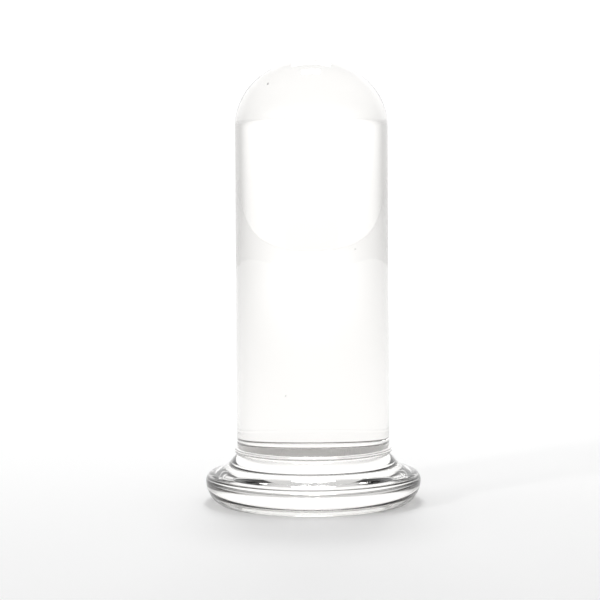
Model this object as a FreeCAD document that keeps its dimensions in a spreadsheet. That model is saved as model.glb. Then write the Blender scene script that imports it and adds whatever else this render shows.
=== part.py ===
"""Domed glass column on a ringed, flared foot: a solid, lathe-worked piece of clear glass.

The real object is four gathers of glass fused on one axis. Each gather is a body of its own here,
round about the vertical axis, and each stands on the flat face of the one below:

    foot       the flared disc: flat underside, rolled rim, hollow cove on top
    step_ring  the low conical step that the cove runs up to
    neck_ring  the narrow bead of the weld between the step and the rod
    shaft      the solid rod, its top melted round into a dome

Frame: millimetres, +Z up along the axis, origin at the centre of the flat underside.
"""
import FreeCAD, Part
import math
import os
import types
import Sketcher

# Driving dimensions in millimetres: alias in the sheet, value, what it is.
DIMENSIONS = [
    ("overall_height", 147.5, "underside to the top of the dome"),
    ("shaft_radius", 25.4, "the rod, two inches across"),
    ("dome_height", 22.3, "dome above the straight rod, a little flatter than a hemisphere"),
    ("shoulder_radius", 20.0, "section radius of the dome where it leaves the straight rod"),
    ("shaft_level", 18.51, "height at which the straight rod starts"),
    ("neck_foot_radius", 25.32, "radius of the groove between the step and the weld bead"),
    ("neck_level", 16.5, "height at which the weld bead starts"),
    ("neck_bead_radius", 1.02, "section radius of the weld bead"),
    ("step_radius", 27.65, "widest radius of the conical step"),
    ("step_level", 13.95, "height at which the step starts"),
    ("foot_radius", 35.9, "widest radius of the foot, at its rolled rim"),
    ("rim_level", 7.45, "height of the rolled rim's widest line"),
    ("rim_bead_radius", 3.0, "section radius of the rolled rim"),
    ("rim_turn", 80.0, "degrees that the rolled rim turns before the cove takes over"),
    ("flank_radius", 8.75, "section radius of the foot's side, below the rim"),
    ("edge_radius", 1.0, "section radius of the melted edge round the underside"),
]
SHEET = "Sizes"
FULL_TURN = 360.0
QUARTER = math.pi / 2
OUTPUT_FOLDER = "parts"


def build_sheet(doc):
    """One row for each driving dimension: its name, its value under that alias, what it is."""
    sheet = doc.addObject("Spreadsheet::Sheet", SHEET)
    for row, (alias, value, meaning) in enumerate(DIMENSIONS, start=1):
        sheet.set(f"A{row}", alias)
        sheet.set(f"B{row}", str(value))
        sheet.setAlias(f"B{row}", alias)
        sheet.set(f"C{row}", meaning)
    doc.recompute()
    return types.SimpleNamespace(**{alias: sheet.get(alias) for alias, _, _ in DIMENSIONS})


def cell(alias):
    """The name by which an expression reads a cell."""
    return f"{SHEET}.{alias}"


def new_body(doc, name):
    body = doc.addObject("PartDesign::Body", name)
    body.Label = name
    return body


def base_plane(body, role):
    return next(item for item in body.Origin.OriginFeatures if item.Role == role)


class Outline:
    """Half of a piece's section, drawn in its body's XZ plane with sizes bound to the sheet.

    A point of the outline is (curve, end), where curve is the number that line() or arc() gave.
    """

    START, END, CENTRE = 1, 2, 3
    ORIGIN = (-1, 1)
    GROUND, VERTICAL_AXIS = -1, -2

    def __init__(self, body):
        self.body = body
        self.sketch = body.newObject("Sketcher::SketchObject", f"{body.Name}_outline")
        self.sketch.AttachmentSupport = [(base_plane(body, "XZ_Plane"), "")]
        self.sketch.MapMode = "FlatFace"

    def line(self, start, end):
        """A line between two (radius, height) points."""
        return self.sketch.addGeometry(Part.LineSegment(FreeCAD.Vector(*start, 0), FreeCAD.Vector(*end, 0)))

    def arc(self, centre, radius, start, end):
        """An arc about a (radius, height) point, anticlockwise between two angles in radians."""
        circle = Part.Circle(FreeCAD.Vector(*centre, 0), FreeCAD.Vector(0, 0, 1), radius)
        return self.sketch.addGeometry(Part.ArcOfCircle(circle, start, end))

    def tie(self, kind, *where):
        """A constraint without a size, such as Coincident or Tangent."""
        self.sketch.addConstraint(Sketcher.Constraint(kind, *where))

    def measure(self, kind, *where, formula):
        """A constraint whose size is a formula of the sheet's cells."""
        value = self.sketch.evalExpression(formula)
        index = self.sketch.addConstraint(Sketcher.Constraint(kind, *where, float(value)))
        self.sketch.setExpression(f"Constraints[{index}]", formula)

    def place(self, curve, end, radius, height):
        """Fix a point's distance from the axis and its height, each a formula."""
        self.measure("DistanceX", *self.ORIGIN, curve, end, formula=radius)
        self.measure("DistanceY", *self.ORIGIN, curve, end, formula=height)

    def close(self, bottom, last, low, high):
        """A level face below, and a line down the axis from the last curve's end to it."""
        axis = self.line((0, high), (0, low))
        self.tie("Coincident", last, self.END, axis, self.START)
        self.tie("Coincident", axis, self.END, bottom, self.START)
        self.tie("PointOnObject", axis, self.START, self.VERTICAL_AXIS)
        self.tie("PointOnObject", axis, self.END, self.VERTICAL_AXIS)
        self.tie("Horizontal", bottom)

    def turn(self, doc):
        """Turn the outline once about the vertical axis."""
        turned = self.body.newObject("PartDesign::Revolution", f"{self.body.Name}_turned")
        turned.Profile = self.sketch
        turned.ReferenceAxis = (self.sketch, ["V_Axis"])
        turned.Angle = FULL_TURN
        doc.recompute()
        return self.body


def make_foot(doc, size):
    """The flared disc, which carries the piece.

    From the flat underside a small melted edge leads into the round flank. The flank and the
    rolled rim meet at the widest line, so both arcs have their centres at that height. The cove
    takes over from the rim without a crease and sweeps up to the step's corner.
    """
    outline = Outline(new_body(doc, "foot"))
    start, end, centre = outline.START, outline.END, outline.CENTRE
    rim_centre = size.foot_radius - size.rim_bead_radius
    flank_centre = size.foot_radius - size.flank_radius
    rim_turn = math.radians(size.rim_turn)
    outward = FreeCAD.Vector(math.cos(rim_turn), math.sin(rim_turn), 0)
    rim_end = FreeCAD.Vector(rim_centre, size.rim_level, 0) + outward * size.rim_bead_radius
    chord = FreeCAD.Vector(size.step_radius, size.step_level, 0) - rim_end
    cove_radius = chord.Length ** 2 / (2 * chord.dot(outward))
    cove_centre = rim_end + outward * cove_radius
    cove_turn = math.atan2(size.step_level - cove_centre.y, size.step_radius - cove_centre.x)
    reach = size.flank_radius - size.edge_radius
    drop = size.rim_level - size.edge_radius
    edge_turn = math.asin(drop / reach)
    edge_centre = flank_centre + reach * math.cos(edge_turn)

    bottom = outline.line((0, 0), (edge_centre, 0))
    edge = outline.arc((edge_centre, size.edge_radius), size.edge_radius, -QUARTER, -edge_turn)
    flank = outline.arc((flank_centre, size.rim_level), size.flank_radius, -edge_turn, 0)
    rim = outline.arc((rim_centre, size.rim_level), size.rim_bead_radius, 0, rim_turn)
    cove = outline.arc((cove_centre.x, cove_centre.y), cove_radius, cove_turn, rim_turn - math.pi)
    top = outline.line((size.step_radius, size.step_level), (0, size.step_level))

    outline.tie("Tangent", bottom, end, edge, start)
    outline.tie("Tangent", edge, end, flank, start)
    outline.tie("Tangent", flank, end, rim, start)
    outline.tie("Tangent", rim, end, cove, end)
    outline.tie("Coincident", cove, start, top, start)
    outline.tie("Horizontal", top)
    outline.close(bottom, top, 0, size.step_level)
    outline.tie("PointOnObject", bottom, end, outline.GROUND)
    outline.measure("DistanceX", *outline.ORIGIN, rim, end,
                    formula=f"{cell('foot_radius')} - {cell('rim_bead_radius')} * (1 - cos({cell('rim_turn')}))")
    outline.measure("Radius", edge, formula=cell("edge_radius"))
    outline.measure("Radius", flank, formula=cell("flank_radius"))
    outline.measure("Radius", rim, formula=cell("rim_bead_radius"))
    outline.measure("DistanceY", *outline.ORIGIN, flank, centre, formula=cell("rim_level"))
    outline.place(rim, start, cell("foot_radius"), cell("rim_level"))
    outline.place(cove, start, cell("step_radius"), cell("step_level"))
    return outline.turn(doc)


def make_step_ring(doc, size):
    """The low step: a disc whose side is a cone, from the cove's corner in to the weld's groove."""
    outline = Outline(new_body(doc, "step_ring"))
    start, end = outline.START, outline.END

    bottom = outline.line((0, size.step_level), (size.step_radius, size.step_level))
    side = outline.line((size.step_radius, size.step_level), (size.neck_foot_radius, size.neck_level))
    top = outline.line((size.neck_foot_radius, size.neck_level), (0, size.neck_level))

    outline.tie("Coincident", bottom, end, side, start)
    outline.tie("Coincident", side, end, top, start)
    outline.tie("Horizontal", top)
    outline.close(bottom, top, size.step_level, size.neck_level)
    outline.place(side, start, cell("step_radius"), cell("step_level"))
    outline.place(side, end, cell("neck_foot_radius"), cell("neck_level"))
    return outline.turn(doc)


def make_neck_ring(doc, size):
    """The weld bead: one arc that bulges out between the step's top and the rod."""
    outline = Outline(new_body(doc, "neck_ring"))
    start, end = outline.START, outline.END
    low = FreeCAD.Vector(size.neck_foot_radius, size.neck_level, 0)
    high = FreeCAD.Vector(size.shaft_radius, size.shaft_level, 0)
    chord = high - low
    inward = math.sqrt(size.neck_bead_radius ** 2 - (chord.Length / 2) ** 2) / chord.Length
    middle = (low + high) / 2
    centre = (middle.x - chord.y * inward, middle.y + chord.x * inward)
    low_turn = math.atan2(low.y - centre[1], low.x - centre[0])
    high_turn = math.atan2(high.y - centre[1], high.x - centre[0])

    bottom = outline.line((0, low.y), (low.x, low.y))
    bead = outline.arc(centre, size.neck_bead_radius, low_turn, high_turn)
    top = outline.line((high.x, high.y), (0, high.y))

    outline.tie("Coincident", bottom, end, bead, start)
    outline.tie("Coincident", bead, end, top, start)
    outline.tie("Horizontal", top)
    outline.close(bottom, top, low.y, high.y)
    outline.place(bead, start, cell("neck_foot_radius"), cell("neck_level"))
    outline.place(bead, end, cell("shaft_radius"), cell("shaft_level"))
    outline.measure("Radius", bead, formula=cell("neck_bead_radius"))
    return outline.turn(doc)


def make_shaft(doc, size):
    """The solid rod, with the dome that the flame melted its end into.

    Two arcs draw the dome: a shoulder that leaves the straight side, and a flatter crown that
    takes over from it and has its centre on the axis. Their tangency settles the crown's radius.
    """
    outline = Outline(new_body(doc, "shaft"))
    start, end, centre = outline.START, outline.END, outline.CENTRE
    dome_level = size.overall_height - size.dome_height
    shoulder_centre = size.shaft_radius - size.shoulder_radius
    crown_radius = (shoulder_centre ** 2 + size.dome_height ** 2 - size.shoulder_radius ** 2) / (
        2 * (size.dome_height - size.shoulder_radius))
    crown_level = size.overall_height - crown_radius
    crown_turn = math.atan2(dome_level - crown_level, shoulder_centre)

    bottom = outline.line((0, size.shaft_level), (size.shaft_radius, size.shaft_level))
    side = outline.line((size.shaft_radius, size.shaft_level), (size.shaft_radius, dome_level))
    shoulder = outline.arc((shoulder_centre, dome_level), size.shoulder_radius, 0, crown_turn)
    crown = outline.arc((0, crown_level), crown_radius, crown_turn, QUARTER)

    outline.tie("Coincident", bottom, end, side, start)
    outline.tie("Vertical", side)
    outline.tie("Tangent", side, end, shoulder, start)
    outline.tie("Tangent", shoulder, end, crown, start)
    outline.tie("PointOnObject", crown, centre, outline.VERTICAL_AXIS)
    outline.close(bottom, crown, size.shaft_level, size.overall_height)
    outline.place(bottom, end, cell("shaft_radius"), cell("shaft_level"))
    outline.measure("Radius", shoulder, formula=cell("shoulder_radius"))
    outline.measure("DistanceY", *outline.ORIGIN, side, end,
                    formula=f"{cell('overall_height')} - {cell('dome_height')}")
    outline.measure("DistanceY", *outline.ORIGIN, crown, end, formula=cell("overall_height"))
    return outline.turn(doc)


def check(doc, bodies):
    """Stop before anything is written if a feature failed or a sub-part isn't one sound solid."""
    for item in doc.Objects:
        if {"Invalid", "Error"} & set(item.State):
            raise RuntimeError(f"{item.Name} failed: {item.State}")
        if item.TypeId == "Sketcher::SketchObject" and not item.FullyConstrained:
            raise RuntimeError(f"{item.Name} isn't fully constrained")
    for body in bodies:
        shape = body.Shape
        if shape.isNull() or not shape.isValid() or len(shape.Solids) != 1:
            raise RuntimeError(f"{body.Label} isn't one sound solid")


def export(bodies):
    os.makedirs(OUTPUT_FOLDER, exist_ok=True)
    for body in bodies:
        body.Shape.exportStep(os.path.join(OUTPUT_FOLDER, f"{body.Label}.step"))
        box = body.Shape.optimalBoundingBox()
        print(f"{body.Label}: {box.XLength:.2f} mm across, {box.ZMin:.2f} to {box.ZMax:.2f} mm high, "
              f"{body.Shape.Volume:.0f} mm3")


def main():
    doc = FreeCAD.newDocument("domed_glass_column")
    size = build_sheet(doc)
    bodies = [make_foot(doc, size), make_step_ring(doc, size), make_neck_ring(doc, size), make_shaft(doc, size)]
    doc.recompute()
    check(doc, bodies)
    export(bodies)


main()
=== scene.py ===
# %% [markdown]
# # A clear glass column on a ringed, flared foot
#
# The real object is solid clear glass, most likely borosilicate: one rod whose top is melted to a dome, on
# a wide foot that stands flat. A lampworker turns the hot glass in a lathe and presses it with graphite
# tools, so all of it is round about one axis. This script makes it the same way: each piece is an outline
# carried once round the axis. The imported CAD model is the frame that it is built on.

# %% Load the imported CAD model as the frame
import math

import bmesh
import bpy
import numpy as np
from mathutils import Matrix, Vector


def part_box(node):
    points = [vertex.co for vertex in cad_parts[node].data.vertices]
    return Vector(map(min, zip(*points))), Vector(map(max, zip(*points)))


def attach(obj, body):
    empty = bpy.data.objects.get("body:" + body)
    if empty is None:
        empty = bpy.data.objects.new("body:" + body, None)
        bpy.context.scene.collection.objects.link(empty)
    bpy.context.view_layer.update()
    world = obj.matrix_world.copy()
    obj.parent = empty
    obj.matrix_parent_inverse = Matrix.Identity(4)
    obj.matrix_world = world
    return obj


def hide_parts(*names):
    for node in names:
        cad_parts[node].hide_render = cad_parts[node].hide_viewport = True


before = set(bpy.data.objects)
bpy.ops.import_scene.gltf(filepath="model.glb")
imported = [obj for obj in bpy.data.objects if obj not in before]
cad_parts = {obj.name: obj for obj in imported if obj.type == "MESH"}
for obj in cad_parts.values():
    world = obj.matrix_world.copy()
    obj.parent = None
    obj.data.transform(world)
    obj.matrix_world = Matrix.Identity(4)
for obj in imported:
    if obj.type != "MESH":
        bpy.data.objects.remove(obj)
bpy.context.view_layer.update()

MM = 0.001

# %% [markdown]
# ## Sizes
#
# The four nodes of the frame stack up the axis: foot, step ring, neck ring and shaft. Their boxes give the
# radius and the top of each one, so the pieces here follow the CAD model if it is ever resized. The small
# radii of the glass sections aren't in a box, so they are given as parts of the shaft's radius.

# %% Radii and levels from the frame
def node_size(node):
    """Largest radius and top of a round node: half of its width, and the height of its highest point."""
    low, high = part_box(node)
    return (high.x - low.x) / 2, high.z


foot_radius, foot_top = node_size("foot")
step_radius, step_top = node_size("step_ring")
neck_radius, neck_top = node_size("neck_ring")
shaft_radius, dome_top = node_size("shaft")
print("foot radius, step ring radius, shaft radius in mm:",
      [round(radius / MM, 2) for radius in (foot_radius, step_radius, shaft_radius)])
print("tops of foot, step ring, neck ring, shaft in mm:",
      [round(level / MM, 2) for level in (foot_top, step_top, neck_top, dome_top)])

# %% [markdown]
# ## Outlines
#
# An outline runs from the axis at the bottom, out and up over the glass, and back to the axis at the top.
# It is made of stretches, which are straight lines and arcs, as on a turned piece. The last number given
# to a stretch is how many points it has. Every point is a pair: distance from the axis, and height.

# %% Stretches of an outline
def line(start, end, count):
    """Points evenly spaced from start to end: start plus a growing share of the way to end."""
    share = np.linspace(0.0, 1.0, count)[:, None]
    return np.array(start) * (1 - share) + np.array(end) * share


def arc(centre, radius, start, end, count):
    """Points of an arc, with angles in degrees: centre plus (cosine, sine) of the angle times the radius.

    radius is one number for a round arc, or a pair, outward and upward, for an arc of an ellipse.
    """
    angle = np.radians(np.linspace(start, end, count))
    return np.array(centre) + np.stack([np.cos(angle), np.sin(angle)], axis=1) * np.array(radius)


def direction(vector):
    """Angle of an (outward, upward) vector in degrees: the arc tangent of upward over outward."""
    return math.degrees(math.atan2(vector[1], vector[0]))


print("a quarter arc starts and ends at", arc((0, 0), 1, 0, 90, 3)[[0, -1]].round(2).tolist())

# %% [markdown]
# ## The lathe
#
# A lathe turns a bar while a tool holds one outline, so the surface is that outline at every angle. The
# same idea makes a mesh: the outline's rows are repeated at evenly spaced angles and joined into a grid of
# four-sided faces, with a fan of triangles where the outline meets the axis. All of it is array work.
# Where two pieces are welded together, the faces are marked so that they can have a material of their own.

# %% Turn an outline into a closed mesh
TURNS = 384
CREASE_ANGLE = math.radians(60)


def turned(name, stretches, joints):
    """A closed surface of revolution: at angle a, a point (r, z) of the outline is (r cos a, r sin a, z).

    stretches is a list of arrays of (r, z) points, end to end. joints holds the places in that list of
    the welded faces, which take the second material.
    """
    rows = np.concatenate([stretches[0][:1]] + [stretch[1:] for stretch in stretches])
    welded = np.concatenate([np.full(len(stretch) - 1, place in joints)
                             for place, stretch in enumerate(stretches)])
    angle = np.arange(TURNS) * 2 * np.pi / TURNS
    ring = rows[1:-1]
    grid = np.stack([ring[:, :1] * np.cos(angle), ring[:, :1] * np.sin(angle),
                     np.repeat(ring[:, 1:], TURNS, axis=1)], axis=2)
    points = np.concatenate([grid.reshape(-1, 3), [[0, 0, rows[0, 1]], [0, 0, rows[-1, 1]]]])

    here = np.arange(TURNS)
    after = (here + 1) % TURNS
    base = np.arange(len(ring) - 1)[:, None] * TURNS
    quads = np.stack([base + here, base + after, base + after + TURNS, base + here + TURNS], axis=2)
    last = (len(ring) - 1) * TURNS
    bottom = np.stack([np.full(TURNS, len(points) - 2), after, here], axis=1)
    top = np.stack([np.full(TURNS, len(points) - 1), last + here, last + after], axis=1)
    slots = np.concatenate([np.repeat(welded[1:-1], TURNS),
                            np.full(TURNS, welded[0]), np.full(TURNS, welded[-1])])

    mesh = bpy.data.meshes.new(name)
    mesh.from_pydata(points.tolist(), [], quads.reshape(-1, 4).tolist() + bottom.tolist() + top.tolist())
    mesh.polygons.foreach_set("use_smooth", np.ones(len(mesh.polygons), bool))
    mesh.polygons.foreach_set("material_index", slots.astype(np.int32))
    mesh.set_sharp_from_angle(angle=CREASE_ANGLE)
    piece = bpy.data.objects.new(name, mesh)
    bpy.context.scene.collection.objects.link(piece)
    print(name, "has", len(mesh.polygons), "faces")
    return piece


# %% [markdown]
# ## Foot
#
# The foot is a thick disc of glass with a flat underside, pressed on a graphite plate. Its flank swells to
# the rim, a fat bead rolls over the rim, and a hollow cove sweeps up from the bead to the step. A small
# edge arc touches both the underside and the flank without a crease, which settles its centre. Flank and
# bead meet at the rim's height. The cove leaves the bead without a crease too and ends at the step's
# corner, which settles its radius: the squared distance to the corner, divided by twice the part of that
# distance that lies along the bead's outward direction.

# %% Make the foot
rim_level = 0.2933 * shaft_radius
bead_radius = 0.1181 * shaft_radius
bead_turn = 80
flank_radius = 0.3445 * shaft_radius
edge_radius = 0.0394 * shaft_radius

flank_centre = foot_radius - flank_radius
edge_turn = math.degrees(math.asin((rim_level - edge_radius) / (flank_radius - edge_radius)))
edge_centre = flank_centre + (flank_radius - edge_radius) * math.cos(math.radians(edge_turn))
bead = arc((foot_radius - bead_radius, rim_level), bead_radius, 0, bead_turn, 24)
outward = np.array([math.cos(math.radians(bead_turn)), math.sin(math.radians(bead_turn))])
step_corner = np.array([step_radius, foot_top])
reach = step_corner - bead[-1]
cove_radius = reach @ reach / (2 * reach @ outward)
cove_centre = bead[-1] + cove_radius * outward
cove_end = direction(step_corner - cove_centre)

foot = turned("foot_glass", [
    line((0, 0), (edge_centre, 0), 12),
    arc((edge_centre, edge_radius), edge_radius, -90, -edge_turn, 12),
    arc((flank_centre, rim_level), flank_radius, -edge_turn, 0, 28),
    bead,
    arc(cove_centre, cove_radius, bead_turn - 180, cove_end, 40),
    line(step_corner, (0, foot_top), 6),
], joints=(5,))
print("rim at", round(rim_level / MM, 2), "mm, cove radius", round(cove_radius / MM, 2), "mm")

# %% [markdown]
# ## Step ring
#
# Where the cove ends, the glass steps in towards the column along a short cone, left by the edge of the
# shaping tool. The cone runs in to a groove, a little narrower than the column, where the weld begins.

# %% Make the step ring
groove_radius = 0.9969 * shaft_radius

step_ring = turned("step_ring_glass", [
    line((0, foot_top), (step_radius, foot_top), 6),
    line((step_radius, foot_top), (groove_radius, step_top), 12),
    line((groove_radius, step_top), (0, step_top), 6),
], joints=(0, 2))
print("step ring is", round((step_top - foot_top) / MM, 2), "mm high")

# %% [markdown]
# ## Neck ring
#
# The weld between foot and rod pushed up a thin bead that stands out less than a millimetre past the
# column. One arc draws it, from the groove to the straight side of the column. Its radius follows from the
# chord between its ends and from how far it bulges past the chord: the squares of half the chord and of
# the bulge, added together and divided by twice the bulge. The chord is a hair out of upright, so the
# arc's two end points are then set right on the corners.

# %% Make the neck ring
neck_low = np.array([groove_radius, step_top])
neck_high = np.array([shaft_radius, neck_top])
neck_middle = (neck_low + neck_high) / 2
half_chord = np.linalg.norm(neck_high - neck_low) / 2
bulge = neck_radius - neck_middle[0]
neck_arc_radius = (half_chord ** 2 + bulge ** 2) / (2 * bulge)
neck_centre = np.array([neck_radius - neck_arc_radius, neck_middle[1]])
neck_side = arc(neck_centre, neck_arc_radius, direction(neck_low - neck_centre),
                direction(neck_high - neck_centre), 28)
neck_side[0] = neck_low
neck_side[-1] = neck_high

neck_ring = turned("neck_ring_glass", [
    line((0, step_top), neck_low, 6),
    neck_side,
    line(neck_high, (0, neck_top), 6),
], joints=(0, 2))
print("neck ring bulges", round((neck_radius - shaft_radius) / MM, 2), "mm past the column")

# %% [markdown]
# ## Shaft
#
# The column is a drawn rod, round and straight, with its end melted until it pulled itself into a dome.
# The dome is slightly flatter than half a ball. A quarter of an ellipse draws it: it leaves the straight
# side without a crease and crosses the axis level, and no second arc has to be fitted to it.

# %% Make the shaft
dome_height = 0.878 * shaft_radius
dome_base = dome_top - dome_height

shaft = turned("shaft_glass", [
    line((0, neck_top), (shaft_radius, neck_top), 6),
    line((shaft_radius, neck_top), (shaft_radius, dome_base), 60),
    arc((0, dome_base), (shaft_radius, dome_height), 0, 90, 90),
], joints=(0,))
print("dome starts at", round(dome_base / MM, 2), "mm")

# %% [markdown]
# ### Seed bubbles
#
# Worked glass keeps a few tiny bubbles, called seeds. Each is a small round hole, so it is a closed ball
# whose faces look into the hole, away from the glass, and it belongs to the shaft's own mesh. Places and
# radii are in shaft radii, and the places are measured from the middle of the dome's base.

# %% Add the seeds to the shaft
SEED_PLACES = [(-0.66, -0.16, 0.65), (-0.49, -0.31, 0.47), (-0.31, -0.59, -3.45), (0.35, 0.2, -1.6)]
SEED_RADII = [0.011, 0.013, 0.009, 0.007]


def add_seeds(piece, places, radii):
    """Adds closed balls, turned inside out: a ball's centre is its place times the shaft's radius."""
    shell = bmesh.new()
    shell.from_mesh(piece.data)
    for place, radius in zip(places, radii):
        centre = Vector(place) * shaft_radius + Vector((0, 0, dome_base))
        ball = bmesh.ops.create_icosphere(shell, subdivisions=3, radius=radius * shaft_radius,
                                          matrix=Matrix.Translation(centre))
        faces = {face for corner in ball["verts"] for face in corner.link_faces}
        for face in faces:
            face.smooth = True
        bmesh.ops.reverse_faces(shell, faces=list(faces))
    shell.to_mesh(piece.data)
    shell.free()


add_seeds(shaft, SEED_PLACES, SEED_RADII)
print("added", len(SEED_PLACES), "seeds")

# %% [markdown]
# ## Materials
#
# Colours are written as sRGB hex values, and one function turns them into the linear values that the
# renderer works with. One more function adds a node with its settings, switches and links.

# %% Helpers for materials
def linear(hex_colour):
    """sRGB to linear light: c / 12.92 below 0.04045, otherwise ((c + 0.055) / 1.055) to the power 2.4."""
    value = np.array([int(hex_colour[place:place + 2], 16) for place in (1, 3, 5)]) / 255
    colour = np.where(value <= 0.04045, value / 12.92, ((value + 0.055) / 1.055) ** 2.4)
    return (*colour.tolist(), 1.0)


def add_node(tree, kind, settings, links=(), **switches):
    """Adds one node and returns it.

    settings are values for its sockets by name, links are (from socket, to socket name) pairs, and
    switches are the choices on the node itself, such as its operation.
    """
    node = tree.nodes.new(kind)
    for switch, choice in switches.items():
        setattr(node, switch, choice)
    for socket, value in settings.items():
        node.inputs[socket].default_value = value
    for source, socket in links:
        tree.links.new(source, node.inputs[socket])
    return node


def new_material(name):
    """An empty material and its node tree."""
    material = bpy.data.materials.new(name)
    material.use_nodes = True
    material.node_tree.nodes.clear()
    return material, material.node_tree


print("mid grey in linear light:", round(linear("#808080")[0], 3))

# %% [markdown]
# ### Clear borosilicate glass, fire polished
#
# Borosilicate glass bends light less than window glass: its index of refraction is about 1.474. The flame
# leaves the surface perfectly smooth, so the roughness is zero. The eye sees the bright room bent by the
# solid body, with dark lines where the bends come together. Glass this thick takes a very little of the
# light, blue more than red, so its base colour is a hair warmer than white.

# %% Make the glass
def make_clear_glass():
    """Smooth glass that lets all light in and bends it by its index of refraction."""
    material, tree = new_material("fire_polished_borosilicate_glass")
    glass = add_node(tree, "ShaderNodeBsdfPrincipled", {
        "Base Color": linear("#fefdfb"),
        "Roughness": 0.0,
        "IOR": 1.474,
        "Transmission Weight": 1.0,
    })
    add_node(tree, "ShaderNodeOutputMaterial", {}, [(glass.outputs[0], "Surface")])
    return material


clear_glass = make_clear_glass()
print("made", clear_glass.name)

# %% [markdown]
# ### Welded face
#
# Where two pieces were melted together the glass runs on without a surface between them, so light goes
# straight through. The flat faces of each piece there have a material with no opacity at all, which keeps
# every piece a closed body of its own and still lets the column look like one solid bar.

# %% Make the welded face
def make_welded_face():
    """A face that can't be seen: its opacity is zero."""
    material, tree = new_material("welded_glass_face")
    face = add_node(tree, "ShaderNodeBsdfPrincipled", {"Base Color": linear("#ffffff"), "Alpha": 0.0})
    add_node(tree, "ShaderNodeOutputMaterial", {}, [(face.outputs[0], "Surface")])
    return material


welded_face = make_welded_face()
print("made", welded_face.name)

# %% [markdown]
# ### Dress the pieces
#
# Each piece stands in for the CAD node of the same name and rides on the part's one body, root. The clear
# glass is its first material and the welded face its second, as the lathe numbered them.

# %% Give the pieces their materials and nodes
pieces = {"foot": foot, "step_ring": step_ring, "neck_ring": neck_ring, "shaft": shaft}
for node, piece in pieces.items():
    piece.data.materials.append(clear_glass)
    piece.data.materials.append(welded_face)
    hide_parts(node)
    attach(piece, "root")
print("dressed", sorted(pieces))

# %% [markdown]
# ## Studio
#
# The object stands on matt white paper in front of a lit white screen, as small glassware is usually
# shown. Clear glass has no shade of its own, so its outline and its rings are drawn by what they bend into
# view: the bright screen, the greyer room at the sides, and the dim side where the camera stands. The
# floor lies a hair below the foot, so that the two flat faces don't share one plane.

# %% Floor
FLOOR_GAP = 0.05 * MM
FLOOR_REACH = 3.0


def flat_card(name, corners, material):
    """A four-cornered flat card, which is scenery and not part of the object."""
    mesh = bpy.data.meshes.new(name)
    mesh.from_pydata(corners, [], [(0, 1, 2, 3)])
    mesh.materials.append(material)
    card = bpy.data.objects.new(name, mesh)
    bpy.context.scene.collection.objects.link(card)
    return card


def make_floor_paper():
    """Matt paper, which scatters light evenly and has no gloss."""
    material, tree = new_material("matt_white_paper")
    paper = add_node(tree, "ShaderNodeBsdfDiffuse", {"Color": linear("#fafafa"), "Roughness": 0.0})
    add_node(tree, "ShaderNodeOutputMaterial", {}, [(paper.outputs[0], "Surface")])
    return material


flat_card("floor", [(-FLOOR_REACH, -FLOOR_REACH, -FLOOR_GAP), (FLOOR_REACH, -FLOOR_REACH, -FLOOR_GAP),
                    (FLOOR_REACH, FLOOR_REACH, -FLOOR_GAP), (-FLOOR_REACH, FLOOR_REACH, -FLOOR_GAP)],
          make_floor_paper())
print("floor reaches", FLOOR_REACH, "m each way")

# %% [markdown]
# ### Lit screen
#
# The screen gives its own light, evenly in the middle. A sharp end to it would show in the glass as a hard
# line, so it fades to the room's grey at both sides and at its top. At the floor it starts at a share of
# the full light, about as bright as the paper there, and brightens upward, like paper hung in a sweep.

# %% Make the screen
SCREEN_DISTANCE = 1.4
SCREEN_HALF_WIDTH = 2.6
SCREEN_EVEN_WIDTH = 0.75
SCREEN_HEIGHT = 1.5
SCREEN_EVEN_HEIGHT = 0.5
SCREEN_STRENGTH = 1.2
SWEEP_HEIGHT = 0.16
SWEEP_SHARE = 0.72
ROOM_STRENGTH = 0.68


def upright(half_width, place, low, high):
    """Corners of an upright card square to Y: place is its Y, and low and high are its edges' heights."""
    return [(-half_width, place, low), (half_width, place, low),
            (half_width, place, high), (-half_width, place, high)]


def make_lit_screen():
    """A glowing screen: three fades, across, upward and at the sweep, are multiplied to a share of light.

    Each fade is a smooth step from its first value at start to its last value at end.
    """
    material, tree = new_material("lit_paper_screen")
    place = add_node(tree, "ShaderNodeTexCoord", {})
    axes = add_node(tree, "ShaderNodeSeparateXYZ", {}, [(place.outputs["Object"], "Vector")])
    away = add_node(tree, "ShaderNodeMath", {}, [(axes.outputs["X"], 0)], operation="ABSOLUTE")
    height = axes.outputs["Z"]
    across, upward, sweep = [
        add_node(tree, "ShaderNodeMapRange",
                 {"From Min": start, "From Max": end, "To Min": first, "To Max": last},
                 [(source, "Value")], interpolation_type="SMOOTHSTEP")
        for source, start, end, first, last in (
            (away.outputs[0], SCREEN_EVEN_WIDTH, SCREEN_HALF_WIDTH, 1.0, 0.0),
            (height, SCREEN_EVEN_HEIGHT, SCREEN_HEIGHT, 1.0, 0.0),
            (height, 0.0, SWEEP_HEIGHT, SWEEP_SHARE, 1.0),
        )
    ]
    both = add_node(tree, "ShaderNodeMath", {}, [(across.outputs[0], 0), (upward.outputs[0], 1)],
                    operation="MULTIPLY")
    share = add_node(tree, "ShaderNodeMath", {}, [(both.outputs[0], 0), (sweep.outputs[0], 1)],
                     operation="MULTIPLY")
    strength = add_node(tree, "ShaderNodeMapRange", {"To Min": ROOM_STRENGTH, "To Max": SCREEN_STRENGTH},
                        [(share.outputs[0], "Value")], interpolation_type="SMOOTHSTEP")
    glow = add_node(tree, "ShaderNodeEmission", {"Color": linear("#ffffff")},
                    [(strength.outputs[0], "Strength")])
    add_node(tree, "ShaderNodeOutputMaterial", {}, [(glow.outputs[0], "Surface")])
    return material


flat_card("screen", upright(SCREEN_HALF_WIDTH, SCREEN_DISTANCE, -FLOOR_GAP, SCREEN_HEIGHT), make_lit_screen())
print("screen stands", SCREEN_DISTANCE, "m behind the object")

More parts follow.
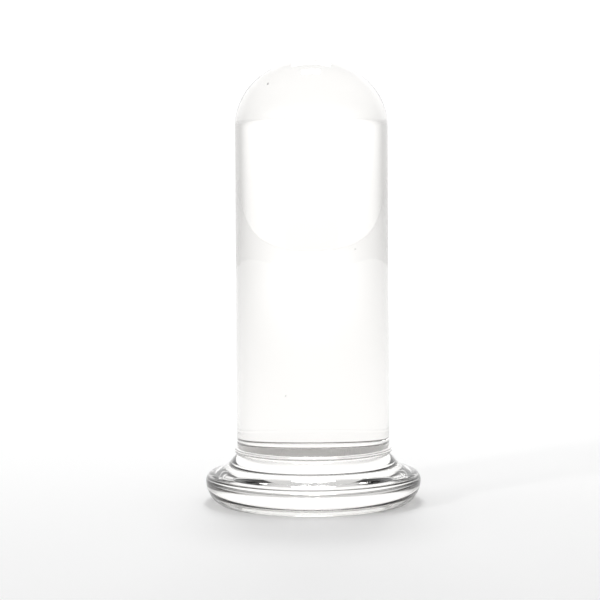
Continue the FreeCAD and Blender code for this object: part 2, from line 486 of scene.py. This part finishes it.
# %% [markdown]
# ### Room and dim wall
#
# With light from all sides the rings would be too pale to read. The room round the screen is a greyer
# white, and a dim wall stands on the camera's side. Only the glass sees that wall: it is hidden from the
# camera, and it neither lights nor shades the floor.

# %% Make the room and the dim wall
DIM_WALL_DISTANCE = 1.1
DIM_WALL_HALF_WIDTH = 0.9
DIM_WALL_HEIGHT = 0.9
DIM_WALL_STRENGTH = 0.6

room = bpy.data.worlds.new("grey_room")
bpy.context.scene.world = room
room.use_nodes = True
room_light = room.node_tree.nodes["Background"]
room_light.inputs["Color"].default_value = linear("#ffffff")
room_light.inputs["Strength"].default_value = ROOM_STRENGTH


def make_dim_paint():
    """A flat warm grey glow."""
    material, tree = new_material("dim_room_wall")
    glow = add_node(tree, "ShaderNodeEmission", {"Color": linear("#6b5f55"), "Strength": DIM_WALL_STRENGTH})
    add_node(tree, "ShaderNodeOutputMaterial", {}, [(glow.outputs[0], "Surface")])
    return material


dim_wall = flat_card("dim_room", upright(DIM_WALL_HALF_WIDTH, -DIM_WALL_DISTANCE, 0, DIM_WALL_HEIGHT),
                     make_dim_paint())
dim_wall.visible_camera = False
dim_wall.visible_diffuse = False
dim_wall.visible_shadow = False
print("room strength", ROOM_STRENGTH, "and dim wall strength", DIM_WALL_STRENGTH)

# %% [markdown]
# ### Lamps
#
# Three square lamps are hung round the object. The key lamp at the front left gives the foot its shadow,
# the top lamp lights the paper round the foot, and the back lamp lights the paper between the object and
# the screen, which the column and the dome bend into view.

# %% Hang the lamps
def soft_lamp(name, place, aim, side, power):
    """A square area lamp at place that points at aim: side is in metres and power in watts."""
    data = bpy.data.lights.new(name, "AREA")
    data.shape = "SQUARE"
    data.size = side
    data.energy = power
    lamp = bpy.data.objects.new(name, data)
    bpy.context.scene.collection.objects.link(lamp)
    lamp.location = place
    turn = (Vector(aim) - Vector(place)).to_track_quat("-Z", "Y")
    lamp.rotation_euler = turn.to_euler()
    lamp.visible_camera = False
    print(name, "gives", power, "W")


soft_lamp("key_lamp", place=(-0.95, -0.9, 0.55), aim=(0, 0, 0.05), side=0.12, power=3.0)
soft_lamp("top_lamp", place=(0.0, 0.15, 0.5), aim=(0, 0.15, 0), side=0.1, power=0.49)
soft_lamp("back_lamp", place=(0.0, 1.0, 0.9), aim=(0, 1.0, 0), side=0.4, power=3.0)

# %% [markdown]
# ## Camera
#
# A long lens, far enough away that the column's sides look parallel. It looks slightly down on the foot and
# is turned a third of a degree about its line of sight. The Standard view transform shows white paper as
# white, where the film-like ones would grey it.

# %% Make the camera
FOOT_DISTANCE = 0.840
FOOT_ELEVATION = math.radians(9.2)
TILT = math.radians(4.604)
ROLL = math.radians(0.35)
SIDEWAYS_SHIFT = -0.0185

bpy.context.scene.view_settings.view_transform = "Standard"
camera_data = bpy.data.cameras.new("camera")
camera_data.sensor_width = 36
camera_data.lens = 150
camera_data.shift_x = SIDEWAYS_SHIFT
camera_data.clip_start = 0.01
camera_data.clip_end = 100
camera = bpy.data.objects.new("camera", camera_data)
bpy.context.scene.collection.objects.link(camera)
camera.location = (0, -FOOT_DISTANCE * math.cos(FOOT_ELEVATION), FOOT_DISTANCE * math.sin(FOOT_ELEVATION))
camera.rotation_euler = (math.pi / 2 - TILT, ROLL, 0)
bpy.context.scene.camera = camera
print("camera at", [round(value, 3) for value in camera.location])
